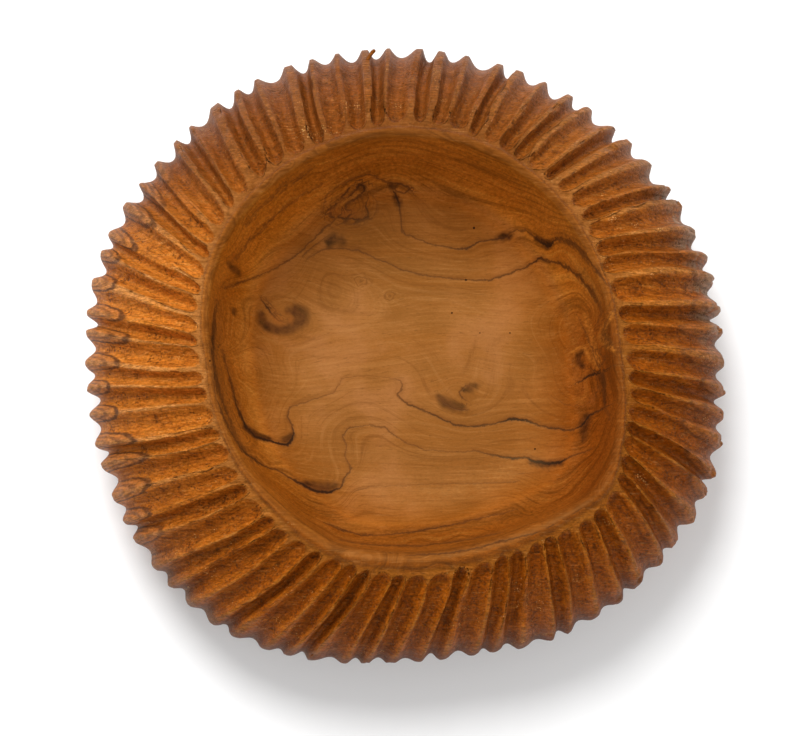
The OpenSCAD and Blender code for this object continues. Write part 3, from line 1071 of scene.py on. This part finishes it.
class Wood:
    """The patterns of the wood that its tones share. Places are millimetres."""

    def __init__(self, tree):
        self.tree = tree
        place = add_node(tree, "ShaderNodeTexCoord", output="Object")
        self.place = place.each("MULTIPLY", (1.0 / MM, 1.0 / MM, 1.0 / MM))
        self.flat = self.place.each("MULTIPLY", (1.0, 1.0, 0.0))
        self.x, self.y, self.z = self.place.parts()
        for name in ("flow", "layer", "crest", "valley", "tip", "steep", "end_grain", "lip"):
            setattr(self, name, self.mark(name))
        self.inside = self.mark("hollow").rise(0.1, 0.6)
        self.outside = 1.0 - self.inside
        for name, (along, across, detail, roughness) in FIBRES.items():
            run = self.vector(self.x * along, self.flow * across, self.z * (0.25 * across))
            setattr(self, name, self.noise(run, 1.0, detail, roughness))
        for name, (scale, detail, roughness) in PATCHES.items():
            setattr(self, name, self.noise(self.place, scale, detail, roughness))
        for name, count in BANDS.items():
            run = self.vector(self.layer * count, self.x * BAND_STRAY, self.flow * BAND_STRAY)
            setattr(self, name, self.noise(run, 1.0, 5.0, 0.68))
        for name, (scale, size) in DOTS.items():
            setattr(self, name, self.dotted(scale, size))
        across, along = self.mark("number") * GOUGE_MARKS[0], self.mark("along") * GOUGE_MARKS[1]
        self.gouge = self.noise(self.vector(across, along, 0.0), 1.0, 4.0, 0.62)

    def mark(self, name, output="Fac"):
        """What the points of the mesh know under a name."""
        return add_node(self.tree, "ShaderNodeAttribute", output=output, attribute_name=name)

    def vector(self, x, y, z):
        return add_node(self.tree, "ShaderNodeCombineXYZ", {0: x, 1: y, 2: z})

    def noise(self, place, scale, detail, roughness, output="Fac"):
        return add_node(self.tree, "ShaderNodeTexNoise", {
            "Vector": place, "Scale": scale, "Detail": detail, "Roughness": roughness}, output)

    def dotted(self, scale, size):
        far = add_node(self.tree, "ShaderNodeTexVoronoi", {
            "Vector": self.place, "Scale": scale, "Randomness": 1.0}, "Distance")
        reach = self.mottle.rise(0.3, 0.7, 1.3, 0.3) * size
        return (far / reach.at_least(0.01)).rise(1.2, 0.6)


def hollow_tone(wood):
    """Golden brown on the floor, deeper amber on the walls, with bands that follow the lip. Painted light
    brightens the left and back walls and the foot of the wall, and painted shade darkens the front walls.
    """
    steep, bands, wall_bands = wood.steep, wood.bands, wood.wall_bands
    wall = steep.rise(0.02, 0.5)
    ripples = wall_bands.rise(0.5, 0.62) * wall * wood.x.rise(-60.0, -110.0, 0.28, 0.5)
    back = steep.rise(0.35, 0.85) * wood.y.rise(15.0, 60.0)
    ground = wood.cloud.rise(0.3, 0.7).mix(rgb(168, 107, 50), rgb(144, 88, 33))
    return painted(ground, [
        (wood.broad.rise(0.42, 0.7, 0.5), (150, 88, 28)),
        (wood.streak.rise(0.5, 0.7, 0.28), (116, 64, 18)),
        (wood.streak.rise(0.48, 0.32, 0.18), (190, 132, 70)),
        (wood.cloud.rise(0.5, 0.36) * steep.rise(0.3, 0.0, 0.3), (176, 116, 68)),
        (bands.rise(0.52, 0.68, 0.4), (112, 60, 16)),
        (bands.rise(0.46, 0.3, 0.22), (190, 132, 74)),
        (steep * 0.7, (240, 204, 80), TINT),
        # Painted light on the left wall
        (steep.rise(0.05, 0.5) * wood.x.rise(-35.0, -95.0), (290, 296, 280), TINT),
        (ripples, (84, 44, 8)),
        (wall_bands.rise(0.46, 0.34, 0.28) * wall, (196, 132, 58)),
        # Painted shade on the front walls, which face the lamps
        (steep.rise(0.1, 0.5) * wood.y.rise(-50.0, -90.0), (238, 232, 214), TINT),
        # Painted light on the back wall, more toward its right
        (back, (277, 276, 250), TINT),
        (back * wood.x.rise(10.0, 80.0), (278, 284, 284), TINT),
        (wood.x.rise(70.0, 128.0, 0.7) * wood.y.rise(45.0, 5.0), (208, 172, 108), TINT),
        # Painted light that lifts the shade where the floor turns into the wall
        (wood.flat.length().rise(55.0, 115.0) * steep.rise(0.6, 0.1), (262, 244, 196), TINT),
        (steep.rise(0.3, 0.0), (225, 226, 232), TINT),
    ])


def flute_tone(wood):
    """Orange brown in the flutes, lighter and dusty on the worn ridges, where the lighter tone is partly
    a painted highlight, with painted shade toward the front and right, under the belly and in the
    grooves, and grey wood between the tips at the right."""
    mottle, valley = wood.mottle, wood.valley
    forward = wood.x * 0.5 + wood.y * -0.87
    tips = wood.z.rise(78.0, 60.0) * wood.cloud.rise(0.45, 0.6, 0.6) * wood.end_grain
    grey = wood.x.rise(140.0, 165.0) * wood.y.rise(-30.0, 30.0) * wood.z.rise(92.0, 76.0)
    tone = painted(wood.gouge.rise(0.3, 0.7).mix(rgb(200, 120, 40), rgb(178, 101, 28)), [
        (mottle.rise(0.42, 0.7, 0.45), (170, 88, 18)),
        (wood.gouge.rise(0.55, 0.66, 0.4), (124, 64, 14)),
        (wood.streak.rise(0.52, 0.64, 0.4), (116, 60, 16)),
        (wood.streak.rise(0.46, 0.32, 0.35), (216, 152, 80)),
        (wood.bands.rise(0.55, 0.62, 0.35), (108, 56, 16)),
        # Lighter ridge tops: partly wear, partly a painted highlight
        (wood.crest * mottle.rise(0.3, 0.6, 0.75, 0.3), (192, 130, 70)),
        (wood.crest * (1.0 - wood.lip) * wood.hair.rise(0.48, 0.6, 0.55), (112, 66, 26)),
        # Painted shade: darker toward the front and right
        (forward.rise(-110.0, 110.0), (200, 178, 108), TINT),
        (wood.y.rise(60.0, 170.0) * mottle.rise(0.3, 0.6, 0.65, 0.2), (150, 92, 42)),
        (wood.y.rise(30.0, 130.0) * wood.x.rise(130.0, 10.0, 1.0, 0.55), (174, 156, 134), TINT),
        # Painted shade under the belly at the front
        (wood.y.rise(-90.0, -150.0) * wood.z.rise(90.0, 60.0, 0.9), (150, 122, 80), TINT),
        (tips, (116, 80, 44)),
        (grey * wood.patch.rise(0.44, 0.56, 0.75), (148, 122, 98)),
    ])
    # Dark patches in the grooves: partly grime, partly painted shade that grows toward the front and
    # right
    grime_and_shade = valley * wood.pits.rise(0.52, 0.62) * forward.rise(-120.0, 90.0, 0.8, 0.3)
    pitted = wood.patch.rise(0.46, 0.58).at_least(forward.rise(-20.0, 60.0, 0.7))
    return painted(end_rings(wood, tone), [
        # Painted shade in the grooves, strongest toward the front and right
        (valley.rise(0.2, 0.9) * forward.rise(-120.0, 90.0, 0.5, 0.1), (186, 162, 112), TINT),
        (grime_and_shade * mottle.rise(0.4, 0.56, 0.8), (84, 42, 12)),
        (wood.dots * pitted * valley.rise(0.1, 0.4, 0.7), (74, 36, 12)),
        # Painted highlights: small bright glints in patches
        (wood.glints * wood.patch.rise(0.44, 0.34, 0.5), (226, 172, 104)),
    ])


def end_rings(wood, tone):
    """Rings of end grain round the outer ends of the ridges at the left and the right."""
    sides = wood.x.rise(-120.0, -165.0).at_least(wood.x.rise(130.0, 175.0, 0.6))
    sides = sides * wood.patch.rise(0.3, 0.5, 1.0, 0.5)
    tip = wood.tip + (wood.mottle - 0.5) * 0.3
    rings = [(abs(tip - reach).rise(0.12, 0.03, dark) * sides, (78, 42, 20)) for reach, dark in END_RINGS]
    return painted(tone, [(tip.rise(1.1, 0.9, 0.4) * sides, (150, 96, 56))] + rings)


def lip_and_fibres(wood, colour):
    """The lip darkened, partly its own tone and partly painted shade that damps the light it catches from
    above, with its seams, and the finest fibres and pores, weakest on the walls.
    """
    # The lip's darker tone: partly the wood's own, partly painted shade against the light on its upturned
    # face
    tan = wood.streak.rise(0.4, 0.62).mix(rgb(100, 51, 14), rgb(84, 42, 9))
    colour = (wood.lip * wood.mottle.rise(0.3, 0.65, 0.4, 0.75)).mix(colour, tan)
    smoothed = wood.steep.rise(0.3, 0.0) * 0.45 + wood.steep * 0.7
    fine = (1.0 - smoothed * wood.inside).at_least(0.0)
    return painted(colour, [
        (wood.lip * wood.bands.rise(0.5, 0.62, 0.3), (70, 36, 12)),
        (wood.lip * wood.bands.rise(0.46, 0.36, 0.2), (150, 94, 46)),
        (wood.hair.rise(0.52, 0.7, 0.4) * fine, (96, 52, 16)),
        (wood.hair.rise(0.46, 0.3, 0.2) * fine, (206, 148, 84)),
        (wood.pores.rise(0.65, 0.7, 0.55) * fine, (74, 38, 12)),
    ])


def line_mask(wood, name):
    """The darkness of a group of drawn lines, and the darkness of the halo on one side."""
    off, strength, _ = wood.mark(name, "Vector").parts()
    off = (wood.wobble - 0.5) * 3.6 + (wood.ragged - 0.5) * 0.9 + off
    heavy = strength ** 2.2
    line = (abs(off) / (heavy + 0.4)).rise(1.35, 0.25) * strength.rise(0.0, 0.85, kind="LINEAR")
    share = off / (heavy * 3.2 + 1.6)
    halo = share.rise(1.6, 0.0) * share.rise(-0.7, 0.1) * strength.rise(0.0, 1.0, 0.7, kind="LINEAR")
    return line, halo


def spot(place, centre_mm, radii, turn, edge):
    """1 inside an oval on the plan and 0 outside it, with a soft edge, and how far out it is."""
    far = add_node(place.tree, "ShaderNodeMapping", {
        "Vector": place,
        "Location": (centre_mm[0], centre_mm[1], 0.0),
        "Rotation": (0.0, 0.0, math.radians(turn)),
        "Scale": (radii[0], radii[1], 1.0),
    }, vector_type="TEXTURE").length()
    return far.rise(1.0 + edge, 1.0 - edge), far


def knot_rings(wood, seen):
    """Fine uneven rings round the knots on the floor of the hollow."""
    shove = wood.noise(wood.place, 0.14, 4.0, 0.5, "Color").each("SUBTRACT", (0.5, 0.5, 0.5))
    shoved = shove.each("MULTIPLY", (9.0, 9.0, 0.0)).each("ADD", wood.flat)
    masks = []
    for pixel, radii, turn, strength in RING_KNOTS:
        mask, far = spot(shoved, seen.at([pixel])[0], radii, turn, 0.45)
        rings = (far * (2.1 * max(radii))).sine()
        masks.append(rings.rise(0.0, 0.95, strength) * mask)
    return joined(masks) * wood.inside


def insect_holes(wood, seen):
    return joined([
        spot(wood.flat, seen.at([(x, y)])[0], (radius_mm, radius_mm), 0.0, 0.3)[0]
        for x, y, radius_mm in PINHOLES_PX
    ]) * wood.inside


def marked(wood, seen, halo, colour):
    """The colour with the halos of the drawn lines, the knots and the stains of the hollow."""
    stain = wood.streak.rise(0.4, 0.6).mix(rgb(74, 38, 17), rgb(48, 24, 9))
    colour = painted(colour, [
        (halo * wood.streak.rise(0.3, 0.7, 1.0, 0.5), (98, 54, 22)),
        (knot_rings(wood, seen), (88, 46, 16)),
    ])
    colour = (wood.mark("dark_marks") * wood.mottle.rise(0.25, 0.6, 0.7, 1.0)).mix(colour, stain)
    return painted(colour, [
        (wood.mark("warm_marks") * wood.mottle.rise(0.3, 0.6, 0.7, 0.1), (142, 78, 28)),
        (wood.mark("pale_marks") * wood.streak.rise(0.35, 0.6, 0.3, 0.8), (188, 114, 40)),
    ])


def grit(wood, colour):
    """Fine uneven tone: strong on the carved outside and weak on the smoothed floor."""
    carved = wood.outside * wood.z.rise(50.0, 95.0, 1.0, 0.6)
    amount = (wood.steep * 0.5 + 0.22) * wood.inside + carved
    amount = amount * (1.0 - wood.lip * 0.75)
    fine = wood.noise(wood.place.each("MULTIPLY", (0.45, 0.8, 0.2)), 1.0, 4.0, 0.75)
    level = (fine - 0.5) * 2.6 * amount + 1.0
    return colour.each("MULTIPLY", wood.vector(level, level, level.at_least(0.05) ** 1.5))


def roughness(wood):
    polish = wood.inside.rise(0.0, 1.0, 0.44, 0.55, "LINEAR")
    return polish + (wood.mottle - 0.5) * 0.25 + (wood.speck - 0.5) * 0.3


def relief(wood, line, holes):
    """Fine relief in millimetres: fibres, the marks of the tool, drawn lines and holes."""
    tool = wood.gouge * 0.6 - wood.pits * 0.45 + wood.speck * 0.28
    tool = tool + wood.dots * wood.patch.rise(0.46, 0.58, -0.24, -0.02)
    height = wood.hair * wood.inside.rise(0.0, 1.0, 0.05, 0.22, "LINEAR")
    height = height + tool * wood.outside + wood.speck * 0.03 - line * 0.12 - holes
    return add_node(wood.tree, "ShaderNodeBump", {"Height": height, "Strength": 1.0, "Distance": MM})


def carved_wood(seen):
    material = bpy.data.materials.new("carved_wood")
    material.use_nodes = True
    wood = Wood(material.node_tree)
    lines, halos = zip(*[line_mask(wood, name) for name in LINE_MARKS])
    line = joined(lines)
    holes = insect_holes(wood, seen)
    colour = wood.inside.mix(flute_tone(wood), hollow_tone(wood))
    colour = grit(wood, marked(wood, seen, joined(halos), lip_and_fibres(wood, colour)))
    colour = line.mix(colour, line.mix(rgb(104, 58, 26), rgb(46, 26, 15)))
    looks = {
        "Base Color": painted(colour, [(holes, (56, 30, 15))]),
        "Roughness": roughness(wood),
        "IOR": 1.36,
        "Specular IOR Level": 0.3,
        "Specular Tint": (1.0, 0.62, 0.22, 1.0),
        "Normal": relief(wood, line, holes),
    }
    shader = material.node_tree.nodes["Principled BSDF"]
    for name, given in looks.items():
        plug(shader.inputs[name], given)
    return material


add_camera()
add_world()
add_lights()
add_floor()

bowl, seen = build_bowl()
bowl.data.materials.append(carved_wood(seen))
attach(bowl, "root")
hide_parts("bowl")

bpy.context.scene.view_settings.view_transform = "Standard"
